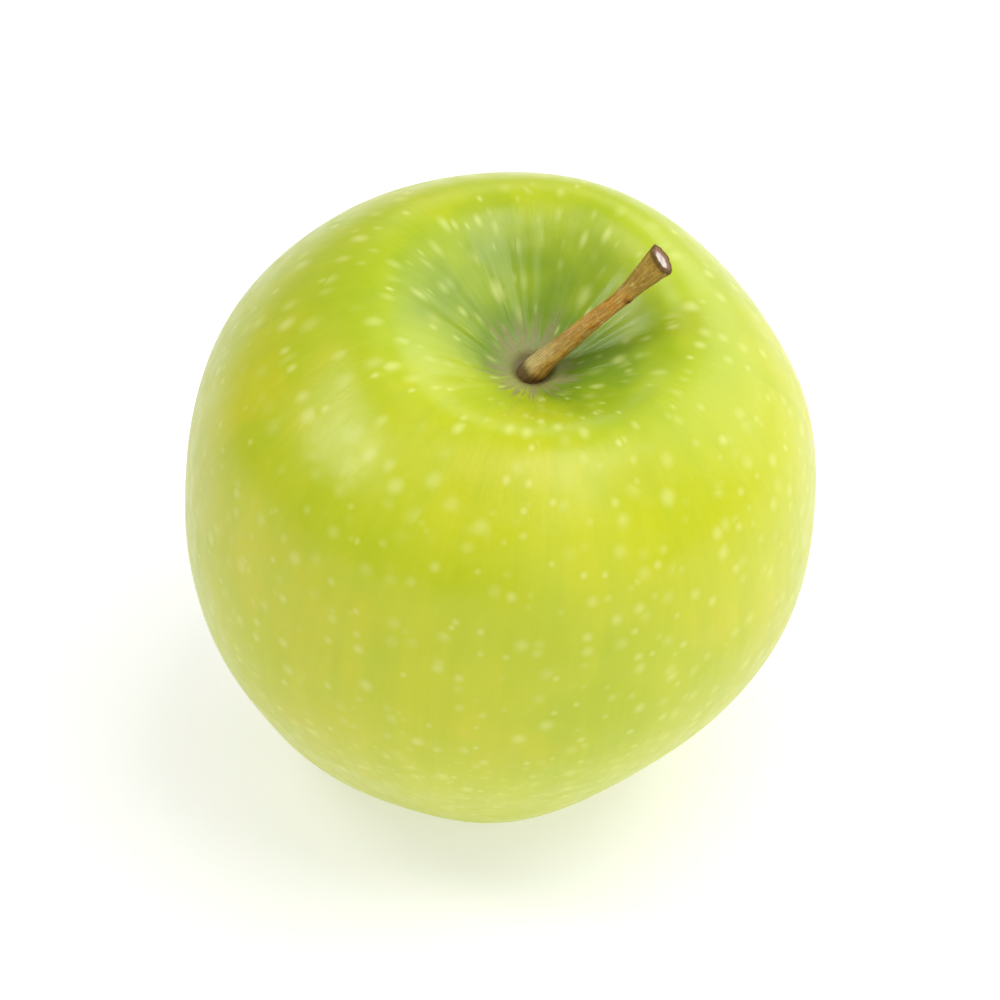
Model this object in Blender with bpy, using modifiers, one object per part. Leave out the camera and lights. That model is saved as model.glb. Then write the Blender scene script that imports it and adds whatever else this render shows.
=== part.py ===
"""A green apple as picked: the fruit, its woody stem and the dried calyx under it.

Metres, +Z up. The apple stands on the five lobes of its base, whose tips are small flats at Z = 0.
The origin is on that surface, under the middle of the fruit's widest ring, and -Y faces the viewer.
"""

import math

import bmesh
import bpy
import numpy as np
from mathutils import Matrix, Vector

# Fruit, measured from the middle of its widest ring
FRUIT_DIAMETER = 0.0770
CREST_HEIGHT = 0.0300
CREST_RADIUS = 0.0186
CAVITY_DEPTH = 0.0083
BASE_DEPTH = 0.0391
BASE_RADIUS = 0.0124
BASIN_DEPTH = 0.0066
WAIST_HEIGHT = 0.0396

# Half of the fruit's section as (radius, height), each a share of the driving sizes above
RADIUS = FRUIT_DIAMETER / 2
SECTION = (
    (0.0, CREST_HEIGHT - CAVITY_DEPTH),
    (0.14 * CREST_RADIUS, CREST_HEIGHT - 0.95 * CAVITY_DEPTH),
    (0.35 * CREST_RADIUS, CREST_HEIGHT - 0.71 * CAVITY_DEPTH),
    (0.62 * CREST_RADIUS, CREST_HEIGHT - 0.33 * CAVITY_DEPTH),
    (CREST_RADIUS, CREST_HEIGHT),
    (0.714 * RADIUS, 0.862 * CREST_HEIGHT),
    (0.915 * RADIUS, 0.553 * CREST_HEIGHT),
    (RADIUS, 0.0),
    (0.940 * RADIUS, -0.385 * BASE_DEPTH),
    (0.760 * RADIUS, -0.708 * BASE_DEPTH),
    (0.526 * RADIUS, -0.955 * BASE_DEPTH),
    (BASE_RADIUS, -BASE_DEPTH),
    (0.60 * BASE_RADIUS, 0.50 * BASIN_DEPTH - BASE_DEPTH),
    (0.33 * BASE_RADIUS, 0.93 * BASIN_DEPTH - BASE_DEPTH),
    (0.0, BASIN_DEPTH - BASE_DEPTH),
)
CREST_KNOT = 4
WAIST_KNOT = 7
BASE_KNOT = 11

# The five lobes stand where the seed chambers are, and are strongest round the base
LOBES = 5
LOBE_TURN = math.radians(-82)
LOBE_SWELL_SHOULDER = 0.008
LOBE_SWELL_WAIST = 0.004
LOBE_SWELL_BASE = 0.024
LOBE_DROP = 0.0009
LOBE_DROP_WIDTH = 0.055

# Waves round the fruit, each as (size, how many, phase), that make its lobes and its shoulders uneven
LOBE_WAVES = ((0.15, 1, -0.9), (0.10, 2, 1.7))
SHOULDER_WAVES = ((-0.00070, 3, 0.3), (-0.00042, 2, 0.2))
SHOULDER_WIDTH = 0.085
OVAL = 0.006
OVAL_TURN = math.radians(35)

# One shoulder is fuller, about this far along the section
FULLER_SWELL = 0.026
FULLER_SIDE = math.radians(172)
FULLER_SHARE = 0.30
FULLER_WIDTH = 0.10

# The cavity sits off the middle, and the shoulders are lower on the side that it opens to
CAVITY_RIGHT = 0.0024
CAVITY_FORWARD = 0.0023
SHOULDER_TILT = 0.215
TILT_HEADING = math.radians(-70)
TILT_FADE = (0.10, 0.37)

# The core leans a little to the right and towards the viewer
LEAN_RIGHT = math.radians(4)
LEAN_FORWARD = math.radians(2)

# Mesh of the fruit
SEGMENTS = 60
RINGS = 44

# Stem, as points from the middle of the cavity's floor, and its half thickness at each
STEM_ROOT_DEPTH = 0.0034
STEM_ROOT_RADIUS = 0.0015
STEM_ROOT_LEAN = math.radians(33)
STEM_ROOT_END = (
    -STEM_ROOT_DEPTH * math.sin(STEM_ROOT_LEAN),
    0.0,
    -STEM_ROOT_DEPTH * math.cos(STEM_ROOT_LEAN),
)
STEM_PATH = (
    (*STEM_ROOT_END, STEM_ROOT_RADIUS),
    (0.0006, -0.0001, 0.0007, 0.00152),
    (0.0026, 0.0001, 0.0028, 0.00130),
    (0.0060, 0.0003, 0.0062, 0.00115),
    (0.0093, 0.0008, 0.0092, 0.00100),
    (0.0110, 0.0012, 0.0107, 0.00102),
    (0.0126, 0.0019, 0.0121, 0.00130),
    (0.0144, 0.0029, 0.0135, 0.00180),
    (0.0156, 0.0036, 0.0145, 0.00215),
)
STEM_STEPS = 24
STEM_SIDES_SETTING = 6

# Calyx, in the basin under the fruit: a cup with five dried sepals and a ring of dried stamens
CUP_RADIUS = 0.0030
CUP_HEIGHT = 0.0024
CUP_TAPER = 0.93
SEPAL_LENGTH = 0.0068
SEPAL_WIDTH = 0.0036
SEPAL_THICKNESS = 0.0007
SEPAL_POINTED = 0.80
SEPAL_CURL = 1.25
SEPAL_REACH = 0.75
SEPAL_CUPPED = 0.0007
SEPAL_FOOT_RADIUS = 0.62 * CUP_RADIUS
SEPAL_FOOT_HEIGHT = 0.0012
SEPAL_ACROSS = 4
SEPAL_ALONG = 7
STAMENS = 9
STAMEN_LENGTH = 0.0036
STAMEN_RADIUS = 0.00034
STAMEN_RING_RADIUS = 0.0011
STAMEN_FOOT_HEIGHT = 0.0008
STAMEN_TILT = 0.16

# Room round a piece that stands in a socket, and the size of the cutters
GAP = 0.0003
SOCKET_SIDES = 24
STEM_SOCKET_ABOVE = 0.004
STEM_SOCKET_FLARE = 1.5
CALYX_SOCKET_BELOW = 0.003
GROUND_SIZE = 0.100
GROUND_THICKNESS = 0.010


def clear_scene():
    """Remove every object, so that the script can run again."""
    for obj in list(bpy.data.objects):
        bpy.data.objects.remove(obj)


def new_collection(name):
    """Return a new collection in the scene."""
    collection = bpy.data.collections.new(name)
    bpy.context.scene.collection.children.link(collection)
    return collection


def material(name, colour, roughness):
    """Return a plain Principled material."""
    made = bpy.data.materials.new(name)
    made.use_nodes = True
    shader = made.node_tree.nodes["Principled BSDF"]
    shader.inputs["Base Color"].default_value = (*colour, 1.0)
    shader.inputs["Roughness"].default_value = roughness
    shader.inputs["Metallic"].default_value = 0.0
    return made


def object_from(name, builder, collection):
    """Return a new mesh object in collection, made from a bmesh, which is freed."""
    mesh = bpy.data.meshes.new(name)
    builder.to_mesh(mesh)
    builder.free()
    obj = bpy.data.objects.new(name, mesh)
    collection.objects.link(obj)
    return obj


def helper(obj):
    """Mark an object as one that shapes others and isn't a piece itself."""
    obj.hide_render = True
    obj.display_type = "WIRE"
    return obj


def cone(sides, low_radius, high_radius, height, low_end):
    """Return a bmesh of a closed cone on the Z axis, whose lower end is at the height low_end."""
    builder = bmesh.new()
    bmesh.ops.create_cone(
        builder,
        cap_ends=True,
        segments=sides,
        radius1=low_radius,
        radius2=high_radius,
        depth=height,
    )
    bmesh.ops.translate(builder, verts=builder.verts, vec=(0, 0, low_end + height / 2))
    return builder


def cut(obj, cutter):
    """Cut one object's shape out of another, with the exact solver."""
    boolean = obj.modifiers.new(cutter.name, "BOOLEAN")
    boolean.operation = "DIFFERENCE"
    boolean.solver = "EXACT"
    boolean.object = cutter


def spline(knots, values, at):
    """Natural cubic spline through values at knots, read at the numbers in at."""
    knots = np.asarray(knots, float)
    values = np.asarray(values, float)
    step = np.diff(knots)[:, None]
    slope = np.diff(values, axis=0) / step
    count = len(knots)
    matrix = np.eye(count)
    right = np.zeros_like(values)
    for i in range(1, count - 1):
        matrix[i, i - 1 : i + 2] = step[i - 1, 0], 2 * (step[i - 1, 0] + step[i, 0]), step[i, 0]
        right[i] = 6 * (slope[i] - slope[i - 1])
    bend = np.linalg.solve(matrix, right)
    index = np.clip(np.searchsorted(knots, at, side="right") - 1, 0, count - 2)
    width = step[index]
    before = (knots[index + 1] - at)[:, None]
    after = (at - knots[index])[:, None]
    return (
        (bend[index] * before**3 + bend[index + 1] * after**3) / (6 * width)
        + (values[index] / width - bend[index] * width / 6) * before
        + (values[index + 1] / width - bend[index + 1] * width / 6) * after
    )


def ease(low, high, value):
    """Return 0 below low, 1 above high and a smooth step between them."""
    t = np.clip((value - low) / (high - low), 0.0, 1.0)
    return t * t * (3 - 2 * t)


def bell(middle, width, value):
    """Return 1 at middle, falling smoothly to almost 0 two widths away."""
    return np.exp(-(((value - middle) / width) ** 2))


def waves(terms, angle):
    """Return the sum of waves round the fruit, each term being (size, how many, phase)."""
    return sum(size * np.cos(count * angle + phase) for size, count, phase in terms)


def section_knots():
    """Return how far along the fruit's section each of its points is, from 0 at the stem to 1."""
    lengths = np.linalg.norm(np.diff(np.array(SECTION), axis=0), axis=1)
    return np.concatenate([[0.0], np.cumsum(lengths)]) / lengths.sum()


def section(share):
    """Return (radius, height) at each share of the section's length.

    The outline is continued across the axis at both ends, so that it meets the axis level.
    """
    knots = section_knots()
    points = np.array(SECTION)
    other_side = np.array([-1.0, 1.0])
    all_knots = np.concatenate([-knots[3:0:-1], knots, 2 - knots[-2:-5:-1]])
    all_points = np.concatenate([points[3:0:-1] * other_side, points, points[-2:-5:-1] * other_side])
    return spline(all_knots, all_points, np.asarray(share, float))


def towards_base(share):
    """Return 0 above the widest ring, rising to 1 where the fruit stands."""
    knots = section_knots()
    return ease(knots[WAIST_KNOT], knots[BASE_KNOT], share)


def fruit_points(share, angle):
    """Return points of the fruit's skin before it leans, from the middle of the widest ring.

    The section is turned round the core. Its radius swells in five lobes that grow towards the base,
    and on the fuller shoulder. The base drops at each lobe, and the shoulders rise and dip. Towards
    the stem the rings move off the core, and fall away on the side that the cavity opens to.
    """
    knots = section_knots()
    radius, height = section(share).T
    lobe = np.cos(LOBES * (angle - LOBE_TURN))
    towards_stem = 1 - ease(knots[CREST_KNOT], knots[WAIST_KNOT], share)
    swell = (
        LOBE_SWELL_WAIST
        + (LOBE_SWELL_SHOULDER - LOBE_SWELL_WAIST) * towards_stem
        + (LOBE_SWELL_BASE - LOBE_SWELL_WAIST) * towards_base(share)
    )
    lobed = swell * lobe * (1 + waves(LOBE_WAVES, angle))
    oval = OVAL * np.cos(2 * (angle - OVAL_TURN))
    fuller = FULLER_SWELL * np.cos(angle - FULLER_SIDE) * bell(FULLER_SHARE, FULLER_WIDTH, share)
    radius = radius * (1 + lobed + oval + fuller)
    height = height - LOBE_DROP * lobe * bell(knots[BASE_KNOT], LOBE_DROP_WIDTH, share)
    height = height + waves(SHOULDER_WAVES, angle) * bell(knots[CREST_KNOT], SHOULDER_WIDTH, share)
    shift = 1 - ease(0.0, knots[WAIST_KNOT], share)
    right = radius * np.cos(angle) + CAVITY_RIGHT * shift
    back = radius * np.sin(angle) - CAVITY_FORWARD * shift
    heading = right * math.cos(TILT_HEADING) + back * math.sin(TILT_HEADING)
    height = height - SHOULDER_TILT * heading * (1 - ease(*TILT_FADE, share))
    return np.stack([right, back, height], axis=-1)


def lean_matrix():
    """Return the turn of the core, to the right and towards the viewer."""
    return Matrix.Rotation(LEAN_RIGHT, 3, "Y") @ Matrix.Rotation(LEAN_FORWARD, 3, "X")


def lean(points, to_base):
    """Lean points about the middle of the widest ring and lift them above the ground.

    to_base is 1 at the base, whose lobes are of uneven length, so that they still stand level.
    """
    turn = np.array(lean_matrix())
    placed = points @ turn.T
    level = points @ np.diag([1.0, 1.0, 0.0]) @ turn.T
    placed[:, 2] += WAIST_HEIGHT - level[:, 2] * to_base
    return placed


def floor_middle(share):
    """Return the middle of the cavity's floor, at the share 0, or of the basin's, at 1."""
    end = np.array([float(share)])
    return Vector(lean(fruit_points(end, 0 * end), towards_base(end))[0])


def cavity_floor():
    """Return the middle of the cavity's floor, where the stem's root goes in."""
    return floor_middle(0)


def basin_floor():
    """Return the middle of the basin's floor, where the calyx is set in."""
    return floor_middle(1)


def stem_socket(cutters):
    """Return the plain hole in the cavity's floor that the stem's leaning root stands in."""
    radius = STEM_ROOT_RADIUS + GAP
    depth = STEM_ROOT_DEPTH + GAP
    builder = cone(
        SOCKET_SIDES, radius, STEM_SOCKET_FLARE * radius, depth + STEM_SOCKET_ABOVE, -depth
    )
    socket = helper(object_from("stem_socket", builder, cutters))
    socket.rotation_euler = (0, STEM_ROOT_LEAN, 0)
    socket.location = cavity_floor()
    return socket


def calyx_socket(cutters):
    """Return the shallow pit in the basin's floor that holds the calyx's cup."""
    radius = CUP_RADIUS + GAP
    height = CUP_HEIGHT + GAP + CALYX_SOCKET_BELOW
    builder = cone(SOCKET_SIDES, radius, radius, height, -CALYX_SOCKET_BELOW)
    socket = helper(object_from("calyx_socket", builder, cutters))
    socket.location = basin_floor()
    return socket


def ground(cutters):
    """Return the block whose top is the resting plane, which trims the lobes to small flats."""
    builder = bmesh.new()
    bmesh.ops.create_cube(builder, size=1.0)
    bmesh.ops.scale(builder, verts=builder.verts, vec=(GROUND_SIZE, GROUND_SIZE, GROUND_THICKNESS))
    bmesh.ops.translate(builder, verts=builder.verts, vec=(0, 0, -GROUND_THICKNESS / 2))
    return helper(object_from("ground", builder, cutters))


def build_fruit(collection, cutters):
    """Shape a sphere into the fruit, sink the two sockets and trim the feet flat."""
    builder = bmesh.new()
    bmesh.ops.create_uvsphere(builder, u_segments=SEGMENTS, v_segments=RINGS, radius=1.0)
    directions = np.array([vertex.co for vertex in builder.verts])
    share = np.arccos(np.clip(directions[:, 2], -1, 1)) / math.pi
    angle = np.arctan2(directions[:, 1], directions[:, 0])
    places = lean(fruit_points(share, angle), towards_base(share))
    for vertex, place in zip(builder.verts, places):
        vertex.co = place
    fruit = object_from("fruit", builder, collection)
    fruit.data.shade_smooth()
    fruit.data.set_sharp_from_angle(angle=math.radians(35))
    fruit.data.materials.append(material("skin", (0.46, 0.56, 0.05), 0.38))
    for cutter in (stem_socket(cutters), calyx_socket(cutters), ground(cutters)):
        cut(fruit, cutter)


def build_stem(collection):
    """Run a round tube along the stem's curve, thick at the root and flared at the cut end."""
    path = np.array(STEM_PATH)
    lengths = np.linalg.norm(np.diff(path[:, :3], axis=0), axis=1)
    knots = np.concatenate([[0.0], np.cumsum(lengths)])
    stations = spline(knots, path, np.linspace(0, knots[-1], STEM_STEPS))
    curve = bpy.data.curves.new("stem", "CURVE")
    curve.dimensions = "3D"
    curve.bevel_depth = 1.0
    curve.bevel_resolution = STEM_SIDES_SETTING
    curve.use_fill_caps = True
    line = curve.splines.new("POLY")
    line.points.add(STEM_STEPS - 1)
    for point, (x, y, z, half_thickness) in zip(line.points, stations):
        point.co = (x, y, z, 1.0)
        point.radius = half_thickness
    curve.materials.append(material("bark", (0.22, 0.11, 0.035), 0.70))
    stem = bpy.data.objects.new("stem", curve)
    stem.location = cavity_floor()
    collection.objects.link(stem)


def build_sepal(index, whorl):
    """Bend a small grid into one dried sepal, which leaves the cup's rim and curls outwards."""
    builder = bmesh.new()
    bmesh.ops.create_grid(builder, x_segments=SEPAL_ACROSS, y_segments=SEPAL_ALONG, size=1.0)
    curl = SEPAL_CURL + 0.22 * math.sin(2.3 * index)
    length = SEPAL_LENGTH * (1 + 0.10 * math.cos(1.9 * index))
    for vertex in builder.verts:
        across = vertex.co.x
        along = (vertex.co.y + 1) / 2
        half_width = SEPAL_WIDTH / 2 * (1 - SEPAL_POINTED * along**1.7)
        bend = curl * along
        outward = SEPAL_REACH * length * (1 - math.cos(bend)) / curl
        down = length * math.sin(bend) / curl
        cupped = SEPAL_CUPPED * across**2 * (1 - along)
        vertex.co = (
            SEPAL_FOOT_RADIUS + outward - cupped,
            across * half_width,
            SEPAL_FOOT_HEIGHT - down,
        )
    sepal = helper(object_from(f"sepal_{index}", builder, whorl))
    shell = sepal.modifiers.new("thickness", "SOLIDIFY")
    shell.thickness = SEPAL_THICKNESS
    shell.offset = 0.0
    sepal.rotation_euler = (0, 0, LOBE_TURN + math.tau * (index + 0.5) / LOBES)
    return sepal


def build_stamen(index, whorl):
    """Stand one dried stamen inside the ring of sepals."""
    length = STAMEN_LENGTH * (1 + 0.18 * math.sin(3.1 * index))
    builder = cone(6, 0.9 * STAMEN_RADIUS, STAMEN_RADIUS, length, STAMEN_FOOT_HEIGHT - length)
    stamen = helper(object_from(f"stamen_{index}", builder, whorl))
    turn = math.tau * index / STAMENS
    stamen.location = (STAMEN_RING_RADIUS * math.cos(turn), STAMEN_RING_RADIUS * math.sin(turn), 0)
    stamen.rotation_euler = (
        STAMEN_TILT * math.sin(turn + 0.5),
        -STAMEN_TILT * math.cos(turn + 0.5),
        0,
    )
    return stamen


def build_calyx(collection):
    """Fuse the five dried sepals and the stamens to the cup that is set into the basin."""
    cup = cone(SOCKET_SIDES, CUP_TAPER * CUP_RADIUS, CUP_RADIUS, CUP_HEIGHT, 0.0)
    calyx = object_from("calyx", cup, collection)
    whorl = new_collection("whorl")
    pieces = [build_sepal(index, whorl) for index in range(LOBES)]
    pieces += [build_stamen(index, whorl) for index in range(STAMENS)]
    union = calyx.modifiers.new("whorl", "BOOLEAN")
    union.operation = "UNION"
    union.solver = "EXACT"
    union.operand_type = "COLLECTION"
    union.collection = whorl
    bpy.context.view_layer.update()
    graph = bpy.context.evaluated_depsgraph_get()
    fused = bpy.data.meshes.new_from_object(calyx.evaluated_get(graph))
    calyx.modifiers.clear()
    calyx.data = fused
    for piece in pieces:
        bpy.data.objects.remove(piece)
    bpy.data.collections.remove(whorl)
    calyx.data.materials.clear()
    calyx.data.materials.append(material("dry_sepal", (0.17, 0.13, 0.07), 0.85))
    calyx.location = basin_floor()


def main():
    """Build the three pieces of the apple."""
    clear_scene()
    pieces = new_collection("green_apple")
    cutters = new_collection("cutters")
    build_fruit(pieces, cutters)
    build_stem(pieces)
    build_calyx(pieces)


main()
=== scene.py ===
"""The looks of a green apple as picked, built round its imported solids.

Metres, +Z up, -Y towards the viewer. The skin, the stem and the calyx are surfaces worked out from
the same driving sizes as the solids, and each stands for its own solid.
"""

import logging
import math
from dataclasses import dataclass
from enum import Enum

import bpy
import numpy as np
from mathutils import Matrix, Vector


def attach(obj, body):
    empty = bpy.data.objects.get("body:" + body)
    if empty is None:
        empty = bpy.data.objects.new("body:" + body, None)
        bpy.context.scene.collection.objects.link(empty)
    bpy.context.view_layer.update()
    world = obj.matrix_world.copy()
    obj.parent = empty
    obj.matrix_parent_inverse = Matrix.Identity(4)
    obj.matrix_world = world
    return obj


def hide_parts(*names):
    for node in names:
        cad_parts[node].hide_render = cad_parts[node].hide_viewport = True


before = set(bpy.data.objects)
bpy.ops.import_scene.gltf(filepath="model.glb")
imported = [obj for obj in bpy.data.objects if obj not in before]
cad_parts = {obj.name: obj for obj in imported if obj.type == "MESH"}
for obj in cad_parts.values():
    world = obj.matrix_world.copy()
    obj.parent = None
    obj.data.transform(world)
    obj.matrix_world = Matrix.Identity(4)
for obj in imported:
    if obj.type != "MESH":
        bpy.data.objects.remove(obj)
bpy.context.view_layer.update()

BODY = "root"
TURN = 2 * math.pi
MILLIMETRE = 0.001
NUMBER_OPERATIONS = ("LENGTH", "DISTANCE", "DOT_PRODUCT")

log = logging.getLogger("green_apple")

Colour = tuple[float, float, float, float]
Pair = tuple[float, float]
Patches = tuple[float, float, float]
Streaks = tuple[float, float, float, float]
Fade = tuple[float, float, float, float]
Waves = tuple[tuple[float, int, float], ...]
Socket = bpy.types.NodeSocket
Array = np.ndarray
Piece = bpy.types.Object
Finish = bpy.types.Material
Polar = tuple[Socket, Socket]


class Slot(Enum):
    """The record's material slots."""

    SKIN = "skin"
    BARK = "bark"
    DRY_SEPAL = "dry_sepal"


class Wrap(Enum):
    """The axes round which spots are laid on a surface."""

    BALL = (1.0, 1.0, 1.0)
    TUBE = (1.0, 1.0, 0.0)


class Solid(Enum):
    """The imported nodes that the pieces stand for."""

    FRUIT = "fruit"
    STEM = "stem"
    CALYX = "calyx"


def srgb(*levels: int) -> Colour:
    """Turn a colour as a screen shows it into the linear values that a shader takes.

    Args:
        levels: Red, green and blue, 0 to 255.

    Returns:
        Linear red, green and blue, and an alpha of 1.
    """
    share = np.array(levels) / 255
    linear = np.where(share <= 0.04045, share / 12.92, ((share + 0.055) / 1.055) ** 2.4)
    return (*linear.tolist(), 1.0)


def ease(low: float, high: float, value: Array) -> Array:
    """Step smoothly from 0 at low to 1 at high, as 3 t squared less 2 t cubed."""
    t = np.clip((value - low) / (high - low), 0.0, 1.0)
    return t * t * (3 - 2 * t)


def bell(middle: float, width: float, value: Array) -> Array:
    """Rise to 1 at the middle and fall off as a bell curve."""
    return np.exp(-(((value - middle) / width) ** 2))


def waves(terms: Waves, angle: Array) -> Array:
    """Add up cosine waves round a ring."""
    return sum(size * np.cos(count * angle + phase) for size, count, phase in terms)


def unit(vectors: Array) -> Array:
    """Scale vectors to length 1."""
    return vectors / np.linalg.norm(vectors, axis=-1, keepdims=True)


def swirls(points: Array, wavelength: float, count: int, seed: int) -> Array:
    """Make soft random relief in space, as a sum of cosine waves that run in random directions.

    Args:
        points: Places along the last axis.
        wavelength: The shortest wave, of which the longest is twice as long.
        count: How many waves are added.
        seed: Where the random directions start.

    Returns:
        The relief at each place, mostly between -1 and 1.
    """
    draw = np.random.default_rng(seed)
    heading = unit(draw.normal(size=(count, 3))).T
    pace = TURN / (wavelength * draw.uniform(1.0, 2.0, count))
    phase = draw.uniform(0, TURN, count)
    return np.cos(points @ (heading * pace) + phase).sum(axis=-1) / math.sqrt(2 * count)


def spline(knots: Array, values: Array, at: Array) -> Array:
    """Read a natural cubic spline through rows of values.

    Between two knots the curve is the cubic that has the knots' values and bends. The bends solve
    the usual three-term rows, and are 0 at the two ends.

    Args:
        knots: Where the values stand, rising.
        values: One row of values for each knot.
        at: The numbers to read the curve at, of any shape.

    Returns:
        The values there, with the shape of at and one more axis for the row.
    """
    knots = np.asarray(knots, float)
    values = np.asarray(values, float)
    flat = np.ravel(np.asarray(at, float))
    step = np.diff(knots)[:, None]
    slope = np.diff(values, axis=0) / step
    index = np.arange(len(knots) - 2)
    rows = np.zeros((len(index), len(knots)))
    rows[index, index] = step[:-1, 0]
    rows[index, index + 1] = 2 * (step[:-1, 0] + step[1:, 0])
    rows[index, index + 2] = step[1:, 0]
    bend = np.zeros_like(values)
    bend[1:-1] = np.linalg.solve(rows[:, 1:-1], 6 * np.diff(slope, axis=0))
    left = np.clip(np.searchsorted(knots, flat, side="right") - 1, 0, len(index))
    width = step[left]
    before = (knots[left + 1] - flat)[:, None]
    after = (flat - knots[left])[:, None]
    curve = (
        (bend[left] * before**3 + bend[left + 1] * after**3) / (6 * width)
        + (values[left] / width - bend[left] * width / 6) * before
        + (values[left + 1] / width - bend[left + 1] * width / 6) * after
    )
    return curve.reshape(*np.shape(at), values.shape[1])


def round_ring(count: int) -> Array:
    """Spread angles evenly round a ring."""
    return np.linspace(0.0, TURN, count, endpoint=False)


def ring_vectors(angle: Array) -> Array:
    """Store an angle as a point of the unit circle, which has no seam."""
    return np.stack([np.cos(angle), np.sin(angle), np.zeros_like(angle)], axis=-1)


def ring_normals(rings: Array) -> Array:
    """Find the outward directions of closed rings that go down the outside of a piece.

    The direction is the cross product of the step to the next ring and the step round the ring.

    Args:
        rings: Points, shaped (rings, points round a ring, 3).

    Returns:
        Unit directions of the same shape.
    """
    down = np.gradient(rings, axis=0)
    ahead = np.roll(rings, -1, axis=1) - np.roll(rings, 1, axis=1)
    return unit(np.cross(down, ahead))


def sweep(paths: Array, hints: Array, across: Array, along: Array) -> Array:
    """Carry closed profiles along paths.

    A ring's points are its path point, plus across times the side direction, plus along times the
    direction square to both the side and the path. The side is the hint with its part along the
    path taken off.

    Args:
        paths: Centre points, shaped (pieces, rings, 3).
        hints: A rough side direction for each piece, shaped (pieces, 3).
        across: Distances to the side, shaped (pieces, rings, points round a ring).
        along: Distances square to the side, of the same shape.

    Returns:
        Points, shaped (pieces, rings, points round a ring, 3).
    """
    tangents = unit(np.gradient(paths, axis=1))
    hint = np.broadcast_to(hints[:, None, :], paths.shape)
    side = unit(hint - np.sum(hint * tangents, axis=-1, keepdims=True) * tangents)
    up = np.cross(tangents, side)
    return (
        paths[:, :, None, :]
        + across[..., None] * side[:, :, None, :]
        + along[..., None] * up[:, :, None, :]
    )


def with_poles(values: Array) -> Array:
    """List ring values point by point, then the middle of each piece's first and last ring."""
    rows = values.reshape(-1, values.shape[-1])
    return np.concatenate([rows, values[:, 0].mean(axis=1), values[:, -1].mean(axis=1)])


def ring_faces(pieces: int, rings: int, sides: int) -> tuple[Array, Array]:
    """Number the faces of closed surfaces that are stacks of rings with a pole at each end.

    Args:
        pieces: How many surfaces.
        rings: Rings in each.
        sides: Points round a ring.

    Returns:
        The quads between the rings, and the triangles round the poles.
    """
    number = np.arange(pieces * rings * sides).reshape(pieces, rings, sides)
    beside = np.roll(number, -1, axis=2)
    corners = (number[:, :-1], number[:, 1:], beside[:, 1:], beside[:, :-1])
    quads = np.stack(corners, axis=-1).reshape(-1, 4)
    first = np.broadcast_to(number.size + np.arange(pieces)[:, None], (pieces, sides))
    fans = (
        np.stack((first, number[:, 0], beside[:, 0]), axis=-1),
        np.stack((first + pieces, beside[:, -1], number[:, -1]), axis=-1),
    )
    return quads, np.concatenate(fans).reshape(-1, 3)


def faces_inwards(points: Array, quads: Array, fans: Array) -> bool:
    """Tell whether closed faces are inside out, from the sum of the cones that they make.

    Args:
        points: Every point of the mesh.
        quads: Four point numbers for each quad.
        fans: Three point numbers for each triangle.

    Returns:
        True if the enclosed volume comes out negative.
    """
    triangles = np.concatenate([quads[:, :3], quads[:, [0, 2, 3]], fans])
    first, second, third = (points[triangles[:, i]] for i in range(3))
    return float(np.sum(first * np.cross(second, third))) < 0


def ring_object(name: str, rings: Array, attributes: dict[str, Array]) -> Piece:
    """Make a smooth mesh object of closed surfaces, each a stack of rings closed by two poles.

    Args:
        name: The piece's name.
        rings: Points, shaped (pieces, rings, points round a ring, 3).
        attributes: Values at those points by name, as numbers or as vectors of three.

    Returns:
        The object, at the origin, in the scene.
    """
    quads, fans = ring_faces(*rings.shape[:3])
    points = with_poles(rings)
    if faces_inwards(points, quads, fans):
        quads, fans = quads[:, ::-1], fans[:, ::-1]
    corners = np.concatenate([quads.ravel(), fans.ravel()])
    starts = np.concatenate([4 * np.arange(len(quads)), quads.size + 3 * np.arange(len(fans))])
    mesh = bpy.data.meshes.new(name)
    mesh.vertices.add(len(points))
    mesh.vertices.foreach_set("co", points.astype(np.float32).ravel())
    mesh.loops.add(len(corners))
    mesh.loops.foreach_set("vertex_index", corners.astype(np.int32))
    mesh.polygons.add(len(starts))
    mesh.polygons.foreach_set("loop_start", starts.astype(np.int32))
    mesh.update(calc_edges=True)
    mesh.validate()
    mesh.shade_smooth()
    for title, values in attributes.items():
        is_vector = values.ndim == rings.ndim
        layer = mesh.attributes.new(title, "FLOAT_VECTOR" if is_vector else "FLOAT", "POINT")
        rows = with_poles(values if is_vector else values[..., None])
        layer.data.foreach_set("vector" if is_vector else "value", rows.astype(np.float32).ravel())
    made = bpy.data.objects.new(name, mesh)
    bpy.context.scene.collection.objects.link(made)
    return made


def finish_piece(piece: Piece, material: Finish, solid: Solid) -> None:
    """Dress a piece, put it on the apple's body and let it stand for its solid.

    Args:
        piece: The piece's object.
        material: What it is dressed in.
        solid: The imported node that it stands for.
    """
    piece.data.materials.append(material)
    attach(piece, BODY)
    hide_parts(solid.value)
    log.info("%s: %d faces, for the solid %s", piece.name, len(piece.data.polygons), solid.value)


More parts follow.
